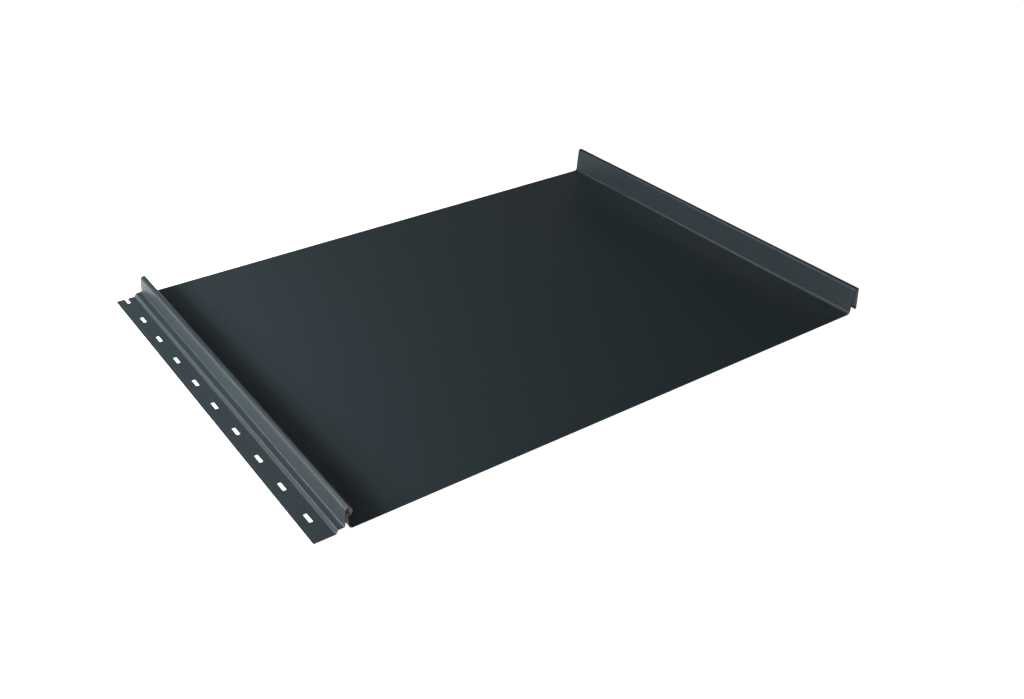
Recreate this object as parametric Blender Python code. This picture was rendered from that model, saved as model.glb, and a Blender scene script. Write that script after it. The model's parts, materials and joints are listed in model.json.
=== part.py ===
# Standing seam roof panel: one roll-formed sheet of painted steel.
#
# Looking along the seams, from left to right, the sheet runs through a nailing flange
# with slots, a small step up to a ledge, a hollow male rib with a snap bulb, the flat
# pan, and the taller seam that clicks over the male rib of the next sheet.
# The sheet lies flat: x across the seams, y along them, z up from the floor.

import math

import bmesh
import bpy
from mathutils import Vector

# Driving sizes of the sheet
LENGTH = 0.4067
PAN_WIDTH = 0.5135
SHEET = 0.0005

# Nailing flange, step and ledge; the next sheet's pan lies on the ledge
FLANGE_WIDTH = 0.0172
STEP_RISE = 0.00305
STEP_ANGLE = math.radians(60.0)
LEDGE_WIDTH = 0.00545

# Leans from upright, shared by both seams so that they nest
WEB_LEAN = math.radians(6.5)
LEG_LEAN = math.radians(3.2)

# The seam on the right, and the lip that turns in at its foot
SEAM_HEIGHT = 0.0257
FOOT_LIFT = 0.0024
LIP_LENGTH = 0.0026
LIP_ANGLE = math.radians(35.0)

# The male rib on the left, and the clearances that it keeps inside the next seam
HEADROOM = 0.0095
SIDE_CLEARANCE = 0.00035
NECK_GAP = 0.0012
BULB_WIDTH = 0.0060
BULB_DEPTH = 0.00755
BELLY_LIFT = 0.0029
BULB_TOP_SLOPE = math.radians(14.0)
BULB_BROW_LEAN = math.radians(15.0)
BULB_CHIN_LEAN = math.radians(22.0)

# Bend radii, on the inner side of each bend
STEP_BEND = 0.0006
LEDGE_BEND = 0.0013
SHOULDER_BEND = 0.0018
BROW_BEND = 0.0013
BELLY_BEND = 0.0018
CHIN_BEND = 0.0006
NECK_BEND = 0.0005
PAN_BEND = 0.0028
SEAM_SHOULDER_BEND = 0.0019
SEAM_TOP_BEND = 0.0013
FOOT_BEND = 0.0005
BEND_FACET = math.radians(7.5)

# Nail slots: three punches on one wheel leave two long gaps and a short one in turn
SLOT_LENGTH = 0.0110
SLOT_WIDTH = 0.0030
SLOT_CORNER = 0.0006
SLOT_INSET = 0.0090
FIRST_SLOT = 0.0267
LONG_GAP = 0.0424
SHORT_GAP = 0.04045
SLOT_GAPS = (LONG_GAP, SHORT_GAP, LONG_GAP)
CORNER_FACETS = 4
CUT_MARGIN = 0.001

# Dark grey coat
PAINT_COLOUR = (0.050, 0.060, 0.067, 1.0)
PAINT_ROUGHNESS = 0.45
SMOOTH_ANGLE = math.radians(30.0)


def clear_scene():
    """Remove what the opening file holds."""
    for thing in list(bpy.data.objects):
        bpy.data.objects.remove(thing, do_unlink=True)


def upright(point, lean, level):
    """The point at a level on a line through a point; a positive lean goes right going up."""
    return Vector((point.x + (level - point.y) * math.tan(lean), level))


def meet(point, lean, other, slope):
    """Where a leaning upright through one point meets a sloping line through another."""
    rise = math.tan(slope)
    level = (other.y + rise * (point.x - other.x - point.y * math.tan(lean)))
    level /= 1.0 - rise * math.tan(lean)
    return upright(point, lean, level)


def centre_line():
    """Corners of the sheet's middle line from left to right, each with its bend radius."""
    floor = SHEET / 2.0
    edge = Vector((0.0, floor))
    step_foot = Vector((FLANGE_WIDTH, floor))
    step_head = Vector((FLANGE_WIDTH + STEP_RISE / math.tan(STEP_ANGLE), floor + STEP_RISE))
    web_foot = step_head + Vector((LEDGE_WIDTH, 0.0))

    # The bulb hangs from the top of the male rib, over the neck on its pan side
    rib_top = SEAM_HEIGHT + STEP_RISE - HEADROOM - SHEET / 2.0
    hook_level = rib_top - BULB_DEPTH + SHEET
    belly_level = hook_level + BELLY_LIFT
    belly = upright(web_foot, WEB_LEAN, belly_level) + Vector((BULB_WIDTH - SHEET, 0.0))
    brow = upright(belly, -BULB_BROW_LEAN, rib_top)
    shoulder = meet(web_foot, WEB_LEAN, brow, BULB_TOP_SLOPE)
    chin = upright(belly, BULB_CHIN_LEAN, hook_level)
    neck = upright(web_foot, WEB_LEAN, hook_level) + Vector((NECK_GAP + SHEET, 0.0))
    pan_start = upright(neck, -LEG_LEAN, floor)

    # The next sheet's bulb sits one ledge lower in this seam than in its own sheet
    pan_end = pan_start + Vector((PAN_WIDTH, 0.0))
    seam_top = SEAM_HEIGHT - SHEET / 2.0
    seam_shoulder = upright(pan_end, WEB_LEAN, seam_top)
    catch_level = belly_level - STEP_RISE - SHEET
    hollow = BULB_WIDTH + SIDE_CLEARANCE + SHEET
    catch = upright(pan_end, WEB_LEAN, catch_level) + Vector((hollow, 0.0))
    seam_brow = upright(catch, -LEG_LEAN, seam_top)
    foot = upright(catch, -LEG_LEAN, FOOT_LIFT + SHEET / 2.0)
    tip = foot + LIP_LENGTH * Vector((-math.cos(LIP_ANGLE), math.sin(LIP_ANGLE)))

    return [
        (edge, 0.0),
        (step_foot, STEP_BEND),
        (step_head, STEP_BEND),
        (web_foot, LEDGE_BEND),
        (shoulder, SHOULDER_BEND),
        (brow, BROW_BEND),
        (belly, BELLY_BEND),
        (chin, CHIN_BEND),
        (neck, NECK_BEND),
        (pan_start, PAN_BEND),
        (pan_end, PAN_BEND),
        (seam_shoulder, SEAM_SHOULDER_BEND),
        (seam_brow, SEAM_TOP_BEND),
        (foot, FOOT_BEND),
        (tip, 0.0),
    ]


def turn_at(before, corner, after):
    """The signed angle that the line turns through at a corner, left turns positive."""
    one = corner - before
    two = after - corner
    return math.atan2(one.x * two.y - one.y * two.x, one.dot(two))


def bend_lengths(points, turns, radii):
    """Straight length that each bend takes, less where two bends share a short run."""
    wanted = [abs(radius * math.tan(turn / 2.0)) for radius, turn in zip(radii, turns)]
    shares = []
    for place in range(len(points) - 1):
        run = (points[place + 1] - points[place]).length
        need = wanted[place] + wanted[place + 1]
        shares.append(min(1.0, run / need) if need > 0.0 else 1.0)
    lengths = list(wanted)
    for place in range(1, len(points) - 1):
        lengths[place] = wanted[place] * min(shares[place - 1], shares[place])
    return lengths


def both_faces(corners):
    """Round the corners, and give the painted face's and the back face's points."""
    points = [point for point, _ in corners]
    turns = [0.0]
    for before, corner, after in zip(points, points[1:], points[2:]):
        turns.append(turn_at(before, corner, after))
    turns.append(0.0)
    radii = [inner + SHEET / 2.0 for _, inner in corners]
    lengths = bend_lengths(points, turns, radii)

    painted = []
    back = []

    def station(point, outward):
        painted.append(point + outward * SHEET / 2.0)
        back.append(point - outward * SHEET / 2.0)

    start = (points[1] - points[0]).normalized()
    station(points[0], Vector((-start.y, start.x)))
    for place in range(1, len(points) - 1):
        along = (points[place] - points[place - 1]).normalized()
        outward = Vector((-along.y, along.x))
        turn = turns[place]
        radius = lengths[place] / math.tan(abs(turn) / 2.0)
        side = math.copysign(1.0, turn)
        centre = points[place] - along * lengths[place] + outward * radius * side
        facets = max(2, math.ceil(abs(turn) / BEND_FACET))
        for facet in range(facets + 1):
            angle = turn * facet / facets
            normal = Vector((
                outward.x * math.cos(angle) - outward.y * math.sin(angle),
                outward.x * math.sin(angle) + outward.y * math.cos(angle),
            ))
            station(centre - normal * radius * side, normal)
    end = (points[-1] - points[-2]).normalized()
    station(points[-1], Vector((-end.y, end.x)))
    return painted, back


def new_object(name, mesh_maker):
    """An object whose mesh a function fills in, linked to the scene."""
    mesh = bpy.data.meshes.new(name)
    shape = bmesh.new()
    mesh_maker(shape)
    bmesh.ops.recalc_face_normals(shape, faces=shape.faces)
    shape.to_mesh(mesh)
    shape.free()
    thing = bpy.data.objects.new(name, mesh)
    bpy.context.scene.collection.objects.link(thing)
    return thing


def extrude_faces(shape, faces, shift):
    """Pull flat faces into a closed solid."""
    pulled = bmesh.ops.extrude_face_region(shape, geom=faces, use_keep_orig=True)
    moved = [item for item in pulled["geom"] if isinstance(item, bmesh.types.BMVert)]
    bmesh.ops.translate(shape, verts=moved, vec=shift)


def sheet_shape(painted, back):
    """A function that makes the folded sheet: its section pulled along the seams."""
    def fill(shape):
        upper = [shape.verts.new((point.x, 0.0, point.y)) for point in painted]
        lower = [shape.verts.new((point.x, 0.0, point.y)) for point in back]
        faces = []
        for place in range(len(upper) - 1):
            ring = (upper[place], upper[place + 1], lower[place + 1], lower[place])
            faces.append(shape.faces.new(ring))
        extrude_faces(shape, faces, Vector((0.0, LENGTH, 0.0)))
    return fill


def slot_places():
    """Distances of the slots from the near end; the far end cuts through the last one."""
    places = []
    place = FIRST_SLOT
    while place - SLOT_LENGTH / 2.0 < LENGTH:
        places.append(place)
        place += SLOT_GAPS[(len(places) - 1) % len(SLOT_GAPS)]
    return places


def slot_outline(place):
    """One slot's rounded rectangle, as points on the floor."""
    corner = min(SLOT_CORNER, SLOT_WIDTH / 2.0, SLOT_LENGTH / 2.0)
    half_x = SLOT_WIDTH / 2.0 - corner
    half_y = SLOT_LENGTH / 2.0 - corner
    outline = []
    for quarter, (side_x, side_y) in enumerate(((1, 1), (-1, 1), (-1, -1), (1, -1))):
        for facet in range(CORNER_FACETS + 1):
            angle = math.pi / 2.0 * (quarter + facet / CORNER_FACETS)
            outline.append((
                SLOT_INSET + side_x * half_x + corner * math.cos(angle),
                place + side_y * half_y + corner * math.sin(angle),
            ))
    return outline


def slot_shapes(shape):
    """All the slots' cutting blocks, through the flange."""
    for place in slot_places():
        ring = [shape.verts.new((x, y, -CUT_MARGIN)) for x, y in slot_outline(place)]
        face = shape.faces.new(ring)
        extrude_faces(shape, [face], Vector((0.0, 0.0, SHEET + 2.0 * CUT_MARGIN)))


def paint():
    """The sheet's coat."""
    coat = bpy.data.materials.new("dark_grey_coat")
    coat.use_nodes = True
    shader = coat.node_tree.nodes["Principled BSDF"]
    shader.inputs["Base Color"].default_value = PAINT_COLOUR
    shader.inputs["Roughness"].default_value = PAINT_ROUGHNESS
    shader.inputs["Metallic"].default_value = 0.0
    coat.diffuse_color = PAINT_COLOUR
    return coat


def build():
    """Fold the sheet, punch its flange, and stand its middle over the origin."""
    clear_scene()
    painted, back = both_faces(centre_line())
    panel = new_object("roof_panel", sheet_shape(painted, back))
    panel.data.materials.append(paint())
    panel.data.shade_smooth()
    panel.data.set_sharp_from_angle(angle=SMOOTH_ANGLE)

    reach = [point.x for point in painted + back]
    panel.location = (-(min(reach) + max(reach)) / 2.0, -LENGTH / 2.0, 0.0)

    cutter = new_object("slot_cutter", slot_shapes)
    cutter.parent = panel
    cutter.hide_render = True
    cutter.display_type = "WIRE"

    punch = panel.modifiers.new("nail_slots", "BOOLEAN")
    punch.operation = "DIFFERENCE"
    punch.solver = "EXACT"
    punch.object = cutter


build()
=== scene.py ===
# %% [markdown]
# # A standing seam roof panel
#
# The object is one piece of painted steel strip, half a millimetre thick, that a row of rollers
# has folded along its length. From left to right it has a nailing flange with slots, a small
# step, a hollow male rib, the wide flat pan, and the taller seam that clicks over the male rib
# of the next panel. The solid of it was made in CAD and is loaded here as a fixed frame.
# This lesson gives it its looks: the same fold rolled again with finer bends and clean faces,
# so that the painted face, the back coat and the cut edges can each have their own finish.

import json
import math

import bpy
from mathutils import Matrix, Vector

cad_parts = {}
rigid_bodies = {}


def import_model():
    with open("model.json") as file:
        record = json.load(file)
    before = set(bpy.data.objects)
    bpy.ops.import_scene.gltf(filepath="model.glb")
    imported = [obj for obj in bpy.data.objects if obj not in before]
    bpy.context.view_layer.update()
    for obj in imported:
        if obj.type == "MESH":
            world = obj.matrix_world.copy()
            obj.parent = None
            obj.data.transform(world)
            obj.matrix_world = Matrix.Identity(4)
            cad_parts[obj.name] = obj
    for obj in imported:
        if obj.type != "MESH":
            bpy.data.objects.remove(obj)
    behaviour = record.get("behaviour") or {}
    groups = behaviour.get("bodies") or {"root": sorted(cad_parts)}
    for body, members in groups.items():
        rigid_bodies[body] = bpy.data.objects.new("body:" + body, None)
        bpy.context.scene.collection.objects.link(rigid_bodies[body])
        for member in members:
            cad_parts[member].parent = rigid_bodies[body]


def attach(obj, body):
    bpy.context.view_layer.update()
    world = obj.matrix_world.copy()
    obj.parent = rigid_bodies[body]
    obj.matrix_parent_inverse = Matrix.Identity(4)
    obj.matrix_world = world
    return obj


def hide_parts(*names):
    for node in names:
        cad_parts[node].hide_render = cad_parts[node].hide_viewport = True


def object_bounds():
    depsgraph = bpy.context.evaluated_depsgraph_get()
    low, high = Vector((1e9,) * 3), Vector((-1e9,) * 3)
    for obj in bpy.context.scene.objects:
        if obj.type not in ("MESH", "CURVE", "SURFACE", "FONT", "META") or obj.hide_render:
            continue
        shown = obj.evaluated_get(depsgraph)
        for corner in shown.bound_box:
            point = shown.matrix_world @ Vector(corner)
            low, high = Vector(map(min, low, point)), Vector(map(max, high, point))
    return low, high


for thing in list(bpy.data.objects):
    bpy.data.objects.remove(thing)
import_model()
cad_low, cad_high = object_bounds()

MM = 0.001
scene = bpy.context.scene
print("CAD box in mm:", [round((b - a) / MM, 2) for a, b in zip(cad_low, cad_high)])

# %% [markdown]
# ## The camera
#
# A camera can be placed by eye, by dragging it until the picture looks right, or it can be
# solved: the corners of a flat rectangle of known shape fix where the lens stood and how long
# it is. The second way was used, because every later comparison with the photograph rests on
# it. The solved camera was then nudged until the sheet's edges in the render lay within a
# third of a pixel of those in the photograph. It has no roll.

# %% Place the camera
LENS_MM = 39.499
SENSOR_MM = 36.0
CAMERA_PLACE = (-0.49564, -0.75391, 0.51780)
LOOK_DOWN = math.radians(32.032)
LOOK_RIGHT = math.radians(35.004)

lens = bpy.data.cameras.new("photo_lens")
lens.lens = LENS_MM
lens.sensor_width = SENSOR_MM
lens.clip_start = 0.01
lens.clip_end = 100.0
camera = bpy.data.objects.new("photo_camera", lens)
camera.location = CAMERA_PLACE
camera.rotation_euler = (math.pi / 2 - LOOK_DOWN, 0.0, -LOOK_RIGHT)
scene.collection.objects.link(camera)
scene.camera = camera
scene.view_settings.view_transform = "Standard"
print("camera", round(math.dist(CAMERA_PLACE, (0, 0, 0)), 3), "m from the panel's middle")

# %% [markdown]
# ## Small helpers for node trees
#
# Shaders and Geometry Nodes are both trees of nodes. Adding a node takes the same three steps
# each time: make it, set what it is, and fill in or link its inputs. One helper does all
# three, so that each tree below reads like a recipe. A Mix node has a set of inputs for each
# kind of data, all with the same names, so its sockets are kept by number.

# %% Helpers that add and link nodes
MIX_SOCKETS = {
    # kind of data: first input, second input, output
    "FLOAT": (2, 3, 0),
    "RGBA": (6, 7, 2),
}


def add(tree, kind, inputs=None, **settings):
    """Add a node; an input may be given a number, a colour or another node's output."""
    made = tree.nodes.new(kind)
    for name, value in settings.items():
        setattr(made, name, value)
    for name, value in (inputs or {}).items():
        if isinstance(value, bpy.types.NodeSocket):
            tree.links.new(value, made.inputs[name])
        else:
            made.inputs[name].default_value = value
    return made


def calculate(tree, operation, first, second=0.0):
    """A Math node, as one output."""
    made = add(tree, "ShaderNodeMath", {0: first, 1: second}, operation=operation)
    return made.outputs[0]


def blend(tree, data_type, factor, first, second):
    """A Mix node between two numbers or two colours, as one output."""
    low_end, high_end, result = MIX_SOCKETS[data_type]
    made = add(tree, "ShaderNodeMix", {0: factor, low_end: first, high_end: second},
               data_type=data_type)
    return made.outputs[result]


def open_tree(name, kind, inputs, outputs):
    """A node group with named sockets, and its two end nodes."""
    tree = bpy.data.node_groups.new(name, kind)
    for side, sockets in (("INPUT", inputs), ("OUTPUT", outputs)):
        for label, socket_type, value in sockets:
            socket = tree.interface.new_socket(label, in_out=side, socket_type=socket_type)
            if value is not None:
                socket.default_value = value
    entry = tree.nodes.new("NodeGroupInput")
    leave = tree.nodes.new("NodeGroupOutput")
    return tree, entry.outputs, leave.inputs


# %% [markdown]
# ## The sizes of the section
#
# A roll-formed sheet has one section all along its length, so most of the work is to get that
# section right. Its corners could be typed in one by one, but then the two seams would soon
# stop fitting each other. Instead, the sizes that a roller maker would choose are named, and
# the corners are worked out from them. The sheet's length, the seam's height and the place of
# the flange's edge come from the frame, so the rolled sheet lands on the CAD solid.

# %% Driving sizes of flange, pan and seam
FLANGE_EDGE = cad_low[0]
SHEET_LENGTH = cad_high[1] - cad_low[1]
SEAM_HEIGHT = cad_high[2] - cad_low[2]
SHEET_THICKNESS = 0.5 * MM
FLANGE_WIDTH = 17.2 * MM
STEP_RISE = 3.05 * MM
STEP_ANGLE = math.radians(60.0)
LEDGE_WIDTH = 5.45 * MM
PAN_WIDTH = 513.5 * MM
WEB_LEAN = math.radians(6.5)
LEG_LEAN = math.radians(3.2)
FOOT_LIFT = 2.4 * MM
LIP_LENGTH = 2.6 * MM
LIP_ANGLE = math.radians(35.0)
print("sheet", round(SHEET_LENGTH / MM, 1), "mm long, seam", round(SEAM_HEIGHT / MM, 1), "mm high")

# %% Driving sizes of the male rib, and its clearances in the next seam
HEADROOM = 9.5 * MM
SIDE_CLEARANCE = 0.35 * MM
NECK_GAP = 1.2 * MM
BULB_WIDTH = 6.0 * MM
BULB_DEPTH = 7.55 * MM
BELLY_LIFT = 2.9 * MM
BULB_TOP_SLOPE = math.radians(14.0)
BROW_LEAN = math.radians(15.0)
CHIN_LEAN = math.radians(22.0)
print("bulb", round(BULB_WIDTH / MM, 2), "mm wide and", round(BULB_DEPTH / MM, 2), "mm deep")

# %% [markdown]
# ## The corners of the middle line
#
# The sheet's middle line is drawn, because a bend doesn't stretch it. A corner lies where two
# straight runs would meet. Each run leans by a known angle, so two small helpers are enough:
# one follows a leaning run up to a level, the other finds where it meets a sloping one.

# %% Two helpers for leaning runs


def upright(point, lean, level):
    """The point at a level on a line through a point; a positive lean goes right going up."""
    return Vector((point.x + (level - point.y) * math.tan(lean), level))


def meet(point, lean, other, slope):
    """Where a leaning upright through one point meets a sloping line through another."""
    rise = math.tan(slope)
    level = other.y + rise * (point.x - other.x - point.y * math.tan(lean))
    return upright(point, lean, level / (1.0 - rise * math.tan(lean)))


sideways = SEAM_HEIGHT * math.tan(WEB_LEAN)
print("the web leans", round(sideways / MM, 2), "mm sideways over the seam's height")

# %% Corners of flange, ledge and male rib
HALF_SHEET = SHEET_THICKNESS / 2
edge = Vector((FLANGE_EDGE, HALF_SHEET))
step_foot = edge + Vector((FLANGE_WIDTH, 0.0))
step_head = step_foot + Vector((STEP_RISE / math.tan(STEP_ANGLE), STEP_RISE))
web_foot = step_head + Vector((LEDGE_WIDTH, 0.0))
rib_top = SEAM_HEIGHT + STEP_RISE - HEADROOM - HALF_SHEET
hook_level = rib_top - BULB_DEPTH + SHEET_THICKNESS
belly_level = hook_level + BELLY_LIFT
belly = upright(web_foot, WEB_LEAN, belly_level) + Vector((BULB_WIDTH - SHEET_THICKNESS, 0.0))
brow = upright(belly, -BROW_LEAN, rib_top)
shoulder = meet(web_foot, WEB_LEAN, brow, BULB_TOP_SLOPE)
chin = upright(belly, CHIN_LEAN, hook_level)
neck = upright(web_foot, WEB_LEAN, hook_level) + Vector((NECK_GAP + SHEET_THICKNESS, 0.0))
pan_start = upright(neck, -LEG_LEAN, HALF_SHEET)
print("the male rib is", round((rib_top + HALF_SHEET) / MM, 2), "mm high")

# %% Corners of pan and seam
pan_end = pan_start + Vector((PAN_WIDTH, 0.0))
seam_top = SEAM_HEIGHT - HALF_SHEET
seam_shoulder = upright(pan_end, WEB_LEAN, seam_top)
catch_level = belly_level - STEP_RISE - SHEET_THICKNESS
hollow_width = BULB_WIDTH + SIDE_CLEARANCE + SHEET_THICKNESS
catch = upright(pan_end, WEB_LEAN, catch_level) + Vector((hollow_width, 0.0))
seam_edge = upright(catch, -LEG_LEAN, seam_top)
foot = upright(catch, -LEG_LEAN, FOOT_LIFT + HALF_SHEET)
tip = foot + LIP_LENGTH * Vector((-math.cos(LIP_ANGLE), math.sin(LIP_ANGLE)))
print("the seam's hollow is", round((hollow_width - SHEET_THICKNESS) / MM, 2), "mm wide")

# %% [markdown]
# ## The section as a line
#
# The corners become a loose line of edges that carries each corner's bend radius as an
# attribute. The radii are those of the middle line, so each is the roller's own radius and
# half the sheet's thickness.

# %% Draw the section's middle line
SECTION = (
    # corner, the roller's own radius in mm
    (edge, 0.0),
    (step_foot, 0.6),
    (step_head, 0.6),
    (web_foot, 1.3),
    (shoulder, 1.8),
    (brow, 1.3),
    (belly, 1.8),
    (chin, 0.6),
    (neck, 0.5),
    (pan_start, 2.8),
    (pan_end, 2.8),
    (seam_shoulder, 1.9),
    (seam_edge, 1.3),
    (foot, 0.5),
    (tip, 0.0),
)


def section_line():
    """The corners as a line of edges at the panel's near end."""
    near_end = cad_low[1]
    points = [(corner.x, near_end, corner.y) for corner, _ in SECTION]
    edges = [(place, place + 1) for place in range(len(points) - 1)]
    line = bpy.data.meshes.new("section_line")
    line.from_pydata(points, edges, [])
    bend = line.attributes.new("bend_radius", "FLOAT", "POINT")
    radii = [inner * MM + HALF_SHEET if inner else 0.0 for _, inner in SECTION]
    bend.data.foreach_set("value", radii)
    return line


section = section_line()
print("section of", len(section.vertices), "corners")

# %% [markdown]
# ## Rolling the sheet with Geometry Nodes
#
# The panel could be pushed and pulled into shape by hand, but its form follows a rule: bend a
# line, run it along the seams, give it a thickness, punch slots at the wheel's spacing. A
# Geometry Nodes tree says that rule once, with the sizes as named inputs, so that a longer
# sheet or a wider slot is one number. The tree starts with those inputs.

# %% Open the rolling tree
SLOT_INSET = 9.0 * MM
FLOAT = "NodeSocketFloat"
rolling, wanted, rolled = open_tree(
    "Roll-formed sheet",
    "GeometryNodeTree",
    (
        ("Section Line", "NodeSocketGeometry", None),
        ("Sheet Length", FLOAT, SHEET_LENGTH),
        ("Sheet Thickness", FLOAT, SHEET_THICKNESS),
        ("Points per Bend", "NodeSocketInt", 12),
        ("Slot Count", "NodeSocketInt", 10),
        ("First Slot", FLOAT, 26.7 * MM),
        ("Long Gap", FLOAT, 42.4 * MM),
        ("Short Gap", FLOAT, 40.45 * MM),
        ("Slot Line", FLOAT, FLANGE_EDGE + SLOT_INSET),
        ("Slot Length", FLOAT, 11.0 * MM),
        ("Slot Width", FLOAT, 3.0 * MM),
        ("Slot Corner", FLOAT, 0.6 * MM),
        ("Painted Face", "NodeSocketMaterial", None),
        ("Back Face", "NodeSocketMaterial", None),
        ("Cut Edge", "NodeSocketMaterial", None),
    ),
    (("Sheet", "NodeSocketGeometry", None),),
)
rolling.is_modifier = True
print("rolling tree with", len(wanted) - 1, "named inputs")

# %% [markdown]
# ### Bend the line and run it along the seams
#
# Fillet Curve rounds every corner by its own radius. The rounded line is turned back into
# edges and extruded along y, which gives a sheet with no thickness yet.

# %% Bend and run
as_curve = add(rolling, "GeometryNodeMeshToCurve", {"Mesh": wanted["Section Line"]})
bend_radius = add(rolling, "GeometryNodeInputNamedAttribute", {"Name": "bend_radius"},
                  data_type="FLOAT")
bent = add(rolling, "GeometryNodeFilletCurve", {
    "Curve": as_curve.outputs["Curve"],
    "Count": wanted["Points per Bend"],
    "Radius": bend_radius.outputs["Attribute"],
}, mode="POLY")
bent_line = add(rolling, "GeometryNodeCurveToMesh", {"Curve": bent.outputs["Curve"]})
run = add(rolling, "ShaderNodeCombineXYZ", {"Y": wanted["Sheet Length"]})
skin = add(rolling, "GeometryNodeExtrudeMesh", {
    "Mesh": bent_line.outputs["Mesh"],
    "Offset": run.outputs["Vector"],
    "Offset Scale": 1.0,
}, mode="EDGES")
face_up = add(rolling, "GeometryNodeFlipFaces", {"Mesh": skin.outputs["Mesh"]})
print("the skin is bent and run in", len(rolling.nodes), "nodes")

# %% [markdown]
# ### Give it its thickness, and remember each side
#
# Solidify would thicken the skin too, but it doesn't say afterwards which face was which. Here
# the skin first sinks by half the thickness, and an extrusion along its normals then lifts the
# painted face off it. The sunk skin, turned over, is the back. A number is stored on the faces
# as they are made: 0 for paint, 1 for the back coat, 2 for a cut edge.

# %% Thicken
PAINTED, BACK, CUT = 0, 1, 2
WELD_DISTANCE = 0.001 * MM


def mark(tree, geometry, side, selection=True):
    """Store which side of the sheet the faces are."""
    stored = add(tree, "GeometryNodeStoreNamedAttribute", {
        "Geometry": geometry, "Selection": selection, "Name": "side", "Value": side,
    }, data_type="INT", domain="FACE")
    return stored.outputs["Geometry"]


normal = add(rolling, "GeometryNodeInputNormal").outputs["Normal"]
half = calculate(rolling, "MULTIPLY", wanted["Sheet Thickness"], -0.5)
sink = add(rolling, "ShaderNodeVectorMath", {0: normal, "Scale": half}, operation="SCALE")
sunk = add(rolling, "GeometryNodeSetPosition", {
    "Geometry": face_up.outputs["Mesh"], "Offset": sink.outputs["Vector"],
})
lifted = add(rolling, "GeometryNodeExtrudeMesh", {
    "Mesh": sunk.outputs["Geometry"],
    "Offset Scale": wanted["Sheet Thickness"],
    "Individual": False,
}, mode="FACES")
painted = mark(rolling, lifted.outputs["Mesh"], PAINTED, lifted.outputs["Top"])
walled = mark(rolling, painted, CUT, lifted.outputs["Side"])
turned = add(rolling, "GeometryNodeFlipFaces", {"Mesh": sunk.outputs["Geometry"]})
backed = mark(rolling, turned.outputs["Mesh"], BACK)


def weld(tree, *parts):
    """Join parts and merge their shared edges into one closed shell."""
    joined = tree.nodes.new("GeometryNodeJoinGeometry")
    for part in parts:
        tree.links.new(part, joined.inputs["Geometry"])
    merged = add(tree, "GeometryNodeMergeByDistance", {
        "Geometry": joined.outputs["Geometry"], "Distance": WELD_DISTANCE,
    })
    return merged.outputs["Geometry"]


folded = weld(rolling, walled, backed)
print("the sheet has its thickness after", len(rolling.nodes), "nodes")

# %% [markdown]
# ### Punch the nail slots
#
# The factory punches the flange with a wheel that carries three punches, which leaves two long
# gaps and a short one in turn. The slots could be cut into the section by hand, but a punch
# that cuts them, as in the factory, keeps their walls clean and their corners round. One punch
# is drawn here, a rounded rectangle pulled into a block.

# %% Punch
POINTS_PER_SLOT_CORNER = 6
PUNCH_HEIGHT_IN_SHEETS = 4.0

outline = add(rolling, "GeometryNodeCurvePrimitiveQuadrilateral", {
    "Width": wanted["Slot Width"], "Height": wanted["Slot Length"],
}, mode="RECTANGLE")
rounded = add(rolling, "GeometryNodeFilletCurve", {
    "Curve": outline.outputs["Curve"], "Count": POINTS_PER_SLOT_CORNER,
    "Radius": wanted["Slot Corner"],
}, mode="POLY")
flat = add(rolling, "GeometryNodeFillCurve", {"Curve": rounded.outputs["Curve"]},
           mode="NGONS")
reach = calculate(rolling, "MULTIPLY", wanted["Sheet Thickness"], PUNCH_HEIGHT_IN_SHEETS)
lowered = add(rolling, "GeometryNodeTransform", {
    "Geometry": flat.outputs["Mesh"],
    "Translation": add(rolling, "ShaderNodeCombineXYZ", {
        "Z": calculate(rolling, "MULTIPLY", reach, -0.5),
    }).outputs["Vector"],
})
pulled = add(rolling, "GeometryNodeExtrudeMesh", {
    "Mesh": lowered.outputs["Geometry"], "Offset Scale": reach,
}, mode="FACES")
underside = add(rolling, "GeometryNodeFlipFaces", {"Mesh": lowered.outputs["Geometry"]})
punch = mark(rolling, weld(rolling, pulled.outputs["Mesh"], underside.outputs["Mesh"]), CUT)
print("the punch is drawn after", len(rolling.nodes), "nodes")

# %% [markdown]
# ### Place the slots
#
# An array would give even gaps, and these aren't even. Accumulate Field adds up the long and
# short gaps to place a point for each slot, the punch is instanced on the points, and one
# Boolean takes them all out of the flange. The last slot runs out over the far end, so that
# the end cuts it open, as in the photograph.

# %% Place the slots
PUNCHES_ON_WHEEL = 3
SHORT_GAP_AFTER = 1

order = add(rolling, "GeometryNodeInputIndex").outputs["Index"]
turn = calculate(rolling, "MODULO", order, float(PUNCHES_ON_WHEEL))
is_short = calculate(rolling, "COMPARE", turn, float(SHORT_GAP_AFTER))
gap = add(rolling, "GeometryNodeSwitch", {
    "Switch": is_short, "False": wanted["Long Gap"], "True": wanted["Short Gap"],
}, input_type="FLOAT")
run_up = add(rolling, "GeometryNodeAccumulateField", {"Value": gap.outputs["Output"]},
             data_type="FLOAT", domain="POINT")
along = calculate(rolling, "ADD", run_up.outputs["Trailing"], wanted["First Slot"])
from_middle = calculate(rolling, "SUBTRACT", along, calculate(
    rolling, "MULTIPLY", wanted["Sheet Length"], 0.5))
points = add(rolling, "GeometryNodePoints", {"Count": wanted["Slot Count"]})
placed = add(rolling, "GeometryNodeSetPosition", {
    "Geometry": points.outputs["Geometry"],
    "Position": add(rolling, "ShaderNodeCombineXYZ", {
        "X": wanted["Slot Line"], "Y": from_middle,
    }).outputs["Vector"],
})
punches = add(rolling, "GeometryNodeInstanceOnPoints", {
    "Points": placed.outputs["Geometry"], "Instance": punch,
})
real_punches = add(rolling, "GeometryNodeRealizeInstances", {
    "Geometry": punches.outputs["Instances"],
})
punched = add(rolling, "GeometryNodeMeshBoolean", {
    "Mesh 1": folded, "Mesh 2": real_punches.outputs["Geometry"],
}, operation="DIFFERENCE", solver="EXACT")
print("the slots are cut after", len(rolling.nodes), "nodes")

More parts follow.
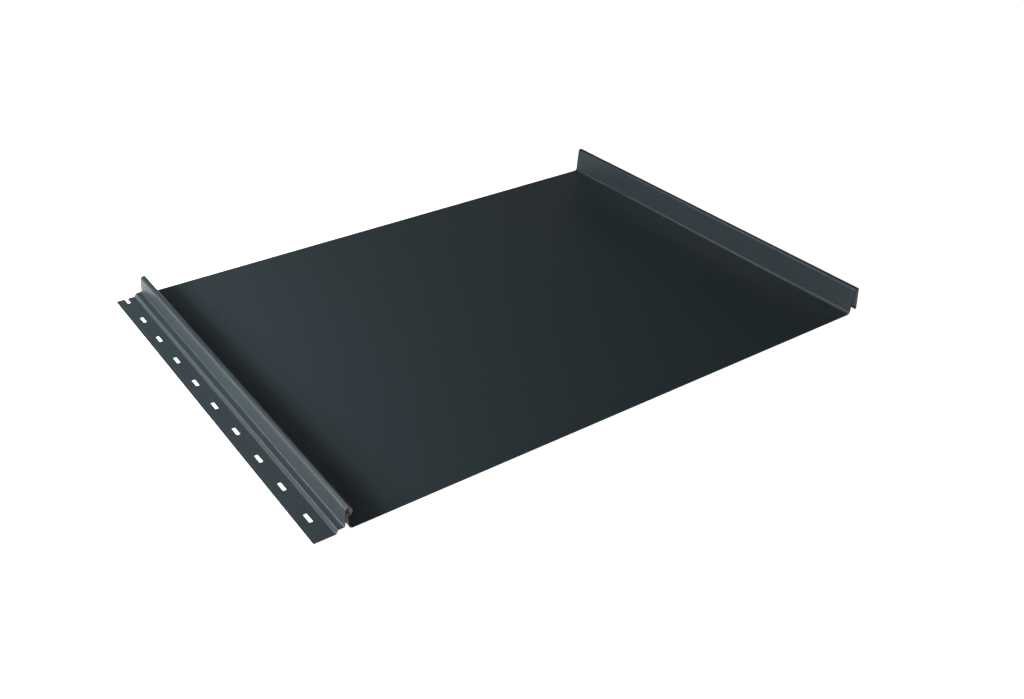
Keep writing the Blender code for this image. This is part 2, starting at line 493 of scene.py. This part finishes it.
# %% [markdown]
# ### Give each side its finish
#
# The tree ends by making everything real and setting one material for each number that was
# stored on the faces.

# %% End the tree
real_sheet = add(rolling, "GeometryNodeRealizeInstances", {
    "Geometry": punched.outputs["Mesh"],
}).outputs["Geometry"]
side = add(rolling, "GeometryNodeInputNamedAttribute", {"Name": "side"},
           data_type="INT").outputs["Attribute"]
for number, label in ((PAINTED, "Painted Face"), (BACK, "Back Face"), (CUT, "Cut Edge")):
    chosen = add(rolling, "FunctionNodeCompare", {2: side, 3: number},
                 data_type="INT", operation="EQUAL")
    real_sheet = add(rolling, "GeometryNodeSetMaterial", {
        "Geometry": real_sheet,
        "Selection": chosen.outputs["Result"],
        "Material": wanted[label],
    }).outputs["Geometry"]
rolling.links.new(real_sheet, rolled["Sheet"])
print("rolling tree of", len(rolling.nodes), "nodes")

# %% [markdown]
# ## The finishes
#
# The strip is painted before it is rolled. One face gets the weather coat, a satin dark grey
# with a breath of blue green in it; the other gets a thin matt back coat in a plain mid grey.
# Rollers lay both coats along the strip, so what little variation they have runs lengthways:
# soft streaks, a few millimetres wide and many centimetres long, and over them the fine
# dimpled skin that painters call orange peel. The two coats and the cut edge share these
# effects, so each effect is a node group with its own named inputs, built once.

# %% Streaks that run along the strip


def streak_group():
    """Noise stretched along y, from 0 to 1."""
    tree, given, made = open_tree("Strip streaks", "ShaderNodeTree", (
        ("Position", "NodeSocketVector", None),
        ("Streak Width", FLOAT, 3.0 * MM),
        ("Streak Length", FLOAT, 150.0 * MM),
    ), (("Streak", FLOAT, None),))
    across = calculate(tree, "DIVIDE", 1.0, given["Streak Width"])
    lengthways = calculate(tree, "DIVIDE", 1.0, given["Streak Length"])
    squeeze = add(tree, "ShaderNodeCombineXYZ", {"X": across, "Y": lengthways, "Z": across})
    place = add(tree, "ShaderNodeVectorMath", {
        0: given["Position"], 1: squeeze.outputs["Vector"],
    }, operation="MULTIPLY")
    grain = add(tree, "ShaderNodeTexNoise", {
        "Vector": place.outputs["Vector"], "Scale": 1.0, "Detail": 3.0, "Roughness": 0.55,
    })
    tree.links.new(grain.outputs["Fac"], made["Streak"])
    return tree


streaks = streak_group()
print("group", streaks.name, "with", len(streaks.nodes), "nodes")

# %% The dimpled skin of a coat


def dimple_group():
    """Height of orange peel in metres, and a mask that is high in the hollows."""
    tree, given, made = open_tree("Orange peel", "ShaderNodeTree", (
        ("Position", "NodeSocketVector", None),
        ("Cell Size", FLOAT, 1.2 * MM),
        ("Depth", FLOAT, 0.004 * MM),
    ), (("Height", FLOAT, None), ("Hollow", FLOAT, None)))
    per_cell = calculate(tree, "DIVIDE", 1.0, given["Cell Size"])
    cells = add(tree, "ShaderNodeTexNoise", {
        "Vector": given["Position"], "Scale": per_cell, "Detail": 1.5, "Roughness": 0.4,
    })
    height = calculate(tree, "MULTIPLY", cells.outputs["Fac"], given["Depth"])
    hollow = calculate(tree, "SUBTRACT", 1.0, cells.outputs["Fac"])
    tree.links.new(height, made["Height"])
    tree.links.new(hollow, made["Hollow"])
    return tree


dimples = dimple_group()
print("group", dimples.name, "with", len(dimples.nodes), "nodes")

# %% [markdown]
# ### One recipe for a rolled-on coat
#
# Each coat is a Principled shader fed by the same three things: two close tones mixed by the
# streaks, a roughness that follows the streaks a little, and the dimples as a bump. What
# differs is the numbers, so a function takes them and builds the material.

# %% The recipe


def use_group(tree, group, inputs):
    """Place a node group in a material with its own values."""
    placed_group = tree.nodes.new("ShaderNodeGroup")
    placed_group.node_tree = group
    for label, value in inputs.items():
        if isinstance(value, bpy.types.NodeSocket):
            tree.links.new(value, placed_group.inputs[label])
        else:
            placed_group.inputs[label].default_value = value
    return placed_group.outputs


def scaled(tree, value, low, high):
    """Take a mask from 0..1 to a range."""
    return add(tree, "ShaderNodeMapRange", {
        "Value": value, "To Min": low, "To Max": high,
    }).outputs["Result"]


def rolled_coat(name, dark, light, roughness, streak, dimple, settings=()):
    """A coat laid on by rollers: tones and roughness streaked along y, with fine dimples."""
    material = bpy.data.materials.new(name)
    material.use_nodes = True
    tree = material.node_tree
    shader = tree.nodes["Principled BSDF"]
    place = add(tree, "ShaderNodeTexCoord").outputs["Object"]
    streak_width, streak_length = streak
    streak_mask = use_group(tree, streaks, {
        "Position": place, "Streak Width": streak_width, "Streak Length": streak_length,
    })["Streak"]
    dimple_size, dimple_depth = dimple
    peel = use_group(tree, dimples, {
        "Position": place, "Cell Size": dimple_size, "Depth": dimple_depth,
    })
    tone = blend(tree, "RGBA", streak_mask, (*dark, 1.0), (*light, 1.0))
    tree.links.new(tone, shader.inputs["Base Color"])
    both = blend(tree, "FLOAT", 0.5, streak_mask, peel["Hollow"])
    tree.links.new(scaled(tree, both, *roughness), shader.inputs["Roughness"])
    bump = add(tree, "ShaderNodeBump", {
        "Height": peel["Height"], "Distance": 1.0, "Strength": 1.0,
    })
    tree.links.new(bump.outputs["Normal"], shader.inputs["Normal"])
    for label, value in settings:
        shader.inputs[label].default_value = value
    return material


print("a recipe for rolled-on coats is ready")

# %% [markdown]
# ### Paint, back coat and cut edge
#
# The weather coat is a dark grey that leans to blue green, with its gloss kept satin by a
# roughness of about 0.29 and a low specular level. The back coat is plain grey and matt. The
# cut edge is bare steel with zinc on both sides, only half a millimetre high, so its streaks
# are short and fine, like the marks that a shear leaves.

# %% Paint, back coat and cut edge
paint = rolled_coat(
    "anthracite_coil_coat",
    dark=(0.0345, 0.0490, 0.0560), light=(0.0370, 0.0525, 0.0600),
    roughness=(0.275, 0.305),
    streak=(3.0 * MM, 150.0 * MM), dimple=(1.2 * MM, 0.001 * MM),
    settings=(("Specular IOR Level", 0.32),),
)
back_coat = rolled_coat(
    "grey_back_coat",
    dark=(0.310, 0.303, 0.300), light=(0.350, 0.343, 0.340),
    roughness=(0.55, 0.70),
    streak=(2.0 * MM, 60.0 * MM), dimple=(0.8 * MM, 0.003 * MM),
)
sheared = rolled_coat(
    "sheared_steel_edge",
    dark=(0.035, 0.040, 0.043), light=(0.085, 0.090, 0.093),
    roughness=(0.45, 0.65),
    streak=(0.15 * MM, 0.4 * MM), dimple=(0.2 * MM, 0.006 * MM),
    settings=(("Metallic", 0.6),),
)
for material in (paint, back_coat, sheared):
    print("finish", material.name)

# %% [markdown]
# ### Run the tree
#
# The tree could stay on the object as a modifier, but the finished piece has to be a plain
# mesh. So the section gets the tree as a modifier, its inputs are filled in by their
# identifiers, and the evaluated result is copied into a mesh of its own. Bends are smooth
# shaded and cut corners stay sharp. Weighted normals keep the wide flats from picking up the
# tilt of the bends beside them, which would show as a false gradient.

# %% Run the tree
SMOOTH_BELOW = math.radians(30.0)

section.materials.append(paint)
source = bpy.data.objects.new("section_source", section)
scene.collection.objects.link(source)
mill = source.modifiers.new("rolling", "NODES")
mill.node_group = rolling
sockets = {item.name: item.identifier for item in rolling.interface.items_tree
           if item.in_out == "INPUT"}
for label, material in (("Painted Face", paint), ("Back Face", back_coat),
                        ("Cut Edge", sheared)):
    mill[sockets[label]] = material
evaluated = source.evaluated_get(bpy.context.evaluated_depsgraph_get())
sheet_mesh = bpy.data.meshes.new_from_object(evaluated)
sheet_mesh.name = "rolled_sheet"
sheet_mesh.materials.pop(index=0)
bpy.data.objects.remove(source)
sheet = bpy.data.objects.new("rolled_sheet", sheet_mesh)
scene.collection.objects.link(sheet)
sheet_mesh.shade_smooth()
sheet_mesh.set_sharp_from_angle(angle=SMOOTH_BELOW)
even = sheet.modifiers.new("flat_stays_flat", "WEIGHTED_NORMAL")
even.mode = "FACE_AREA"
even.weight = 100
even.keep_sharp = True
print("rolled sheet", len(sheet_mesh.polygons), "faces",
      [m.name if m else None for m in sheet_mesh.materials])

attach(sheet, "root")
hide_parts("roof_panel")

# %% [markdown]
# ## The studio
#
# The photograph is a product shot on white: the sheet lies on a pale floor that melts into a
# pale wall, and all the shape in it comes from soft boxes. White could be had by flooding the
# set with light, but that would wash out a dark, satin sheet. Here the floor and the air say
# with a Light Path node that the camera, and anything glossy, sees them white, while the
# light that falls on the sheet comes only from the lamps. Lamps light the floor too, so its
# glow is weaker in reflections, where it would otherwise look brighter than white. Above the
# pale wall the studio is dark, as a real one is, so the wide pan doesn't mirror a ceiling.

# %% Pale floor
FLOOR_REACH = 6.0
FLOOR_DROP = 0.2 * MM
FLOOR_TONE = 0.8
FLOOR_ROUGHNESS = 0.9
FLOOR_GLOW = 0.97
FLOOR_GLINT = 0.3


def seen_directly(tree):
    """1 where the camera, a reflection or a clear surface looks, else 0."""
    path = add(tree, "ShaderNodeLightPath").outputs
    either = calculate(tree, "MAXIMUM", path["Is Camera Ray"], path["Is Glossy Ray"])
    return calculate(tree, "MAXIMUM", either, path["Is Transmission Ray"])


def pale_floor_finish():
    """A pale matt floor: white to the camera, and no brighter than that in reflections."""
    material = bpy.data.materials.new("pale_floor")
    material.use_nodes = True
    tree = material.node_tree
    shader = tree.nodes["Principled BSDF"]
    shader.inputs["Base Color"].default_value = (FLOOR_TONE, FLOOR_TONE, FLOOR_TONE, 1.0)
    shader.inputs["Roughness"].default_value = FLOOR_ROUGHNESS
    shader.inputs["Specular IOR Level"].default_value = 0.0
    shader.inputs["Emission Color"].default_value = (1.0, 1.0, 1.0, 1.0)
    glint = calculate(tree, "MULTIPLY", seen_directly(tree), FLOOR_GLINT)
    path = add(tree, "ShaderNodeLightPath").outputs
    glow = blend(tree, "FLOAT", path["Is Camera Ray"], glint, FLOOR_GLOW)
    tree.links.new(glow, shader.inputs["Emission Strength"])
    return material


floor_corners = [(x * FLOOR_REACH, y * FLOOR_REACH, -FLOOR_DROP)
                 for x, y in ((-1, -1), (1, -1), (1, 1), (-1, 1))]
floor_mesh = bpy.data.meshes.new("studio_floor")
floor_mesh.from_pydata(floor_corners, [], [(0, 1, 2, 3)])
floor_mesh.materials.append(pale_floor_finish())
floor = bpy.data.objects.new("studio_floor", floor_mesh)
scene.collection.objects.link(floor)
print("floor", 2 * FLOOR_REACH, "m square,", round(FLOOR_DROP / MM, 1), "mm below the sheet")

# %% [markdown]
# ### Wall and ceiling
#
# A wall and a ceiling could be modelled, but all that the sheet shows of them is their glow in
# its gloss, and the world can give that: white below 8 degrees above the horizon, fading to
# nearly black by 14 degrees.

# %% Pale wall and dark ceiling
WALL_TOP = math.sin(math.radians(8.0))
CEILING_FROM = math.sin(math.radians(14.0))
CEILING_TONE = 0.02
AIR_FILL = 0.02


def studio_air():
    """White to the camera; in reflections, a pale wall under a dark ceiling."""
    world = bpy.data.worlds.new("studio_air")
    world.use_nodes = True
    tree = world.node_tree
    direction = add(tree, "ShaderNodeTexCoord").outputs["Generated"]
    height = add(tree, "ShaderNodeSeparateXYZ", {"Vector": direction}).outputs["Z"]
    wall = add(tree, "ShaderNodeMapRange", {
        "Value": height, "From Min": WALL_TOP, "From Max": CEILING_FROM,
        "To Min": 1.0, "To Max": CEILING_TONE,
    }, interpolation_type="SMOOTHSTEP").outputs["Result"]
    path = add(tree, "ShaderNodeLightPath").outputs
    lit = blend(tree, "FLOAT", seen_directly(tree), AIR_FILL, wall)
    shown = blend(tree, "FLOAT", path["Is Camera Ray"], lit, 1.0)
    tree.links.new(shown, tree.nodes["Background"].inputs["Strength"])
    tree.nodes["Background"].inputs["Color"].default_value = (1.0, 1.0, 1.0, 1.0)
    return world


scene.world = studio_air()
print("world", scene.world.name)

# %% [markdown]
# ### Soft boxes
#
# The photograph says where its lamps stood. The pan is lightest at its left and falls off to
# the right, so the main box stands low on the left. The male rib shades the pan beside it.
# Each bend carries a thin bright line, which needs light from behind and above. Each lamp was
# first rendered alone, and the powers were then solved so that their sum gives the tones
# along the sheet.

# %% Soft boxes
SOFT_BOXES = (
    # name, place, aim, side in metres, spread in degrees, power in watts
    ("left_box", (-0.85, 0.20, 0.32), (-0.12, 0.06, 0.0), 0.22, 180.0, 5.95),
    ("left_overhead", (-0.85, 0.20, 0.45), (-0.85, 0.20, 0.0), 0.25, 180.0, 4.45),
    ("back_left_beam", (-1.00, 1.30, 1.00), (-0.30, 0.05, 0.0), 0.40, 60.0, 0.63),
    ("back_high", (-0.218, 0.713, 1.065), (0.0, 0.0, 0.0), 0.35, 180.0, 2.38),
    ("front_fill", (-0.90, -0.90, 0.27), (0.0, 0.0, 0.0), 0.50, 180.0, 3.4),
)


def soft_box(name, place, aim, side, spread, watts):
    """A square lamp that faces a point."""
    light = bpy.data.lights.new(name, "AREA")
    light.shape = "SQUARE"
    light.size = side
    light.spread = math.radians(spread)
    light.energy = watts
    lamp = bpy.data.objects.new(name, light)
    lamp.location = place
    backwards = Vector(place) - Vector(aim)
    lamp.rotation_euler = backwards.to_track_quat("Z", "Y").to_euler()
    scene.collection.objects.link(lamp)


for box in SOFT_BOXES:
    soft_box(*box)
print("studio with", len(SOFT_BOXES), "soft boxes")
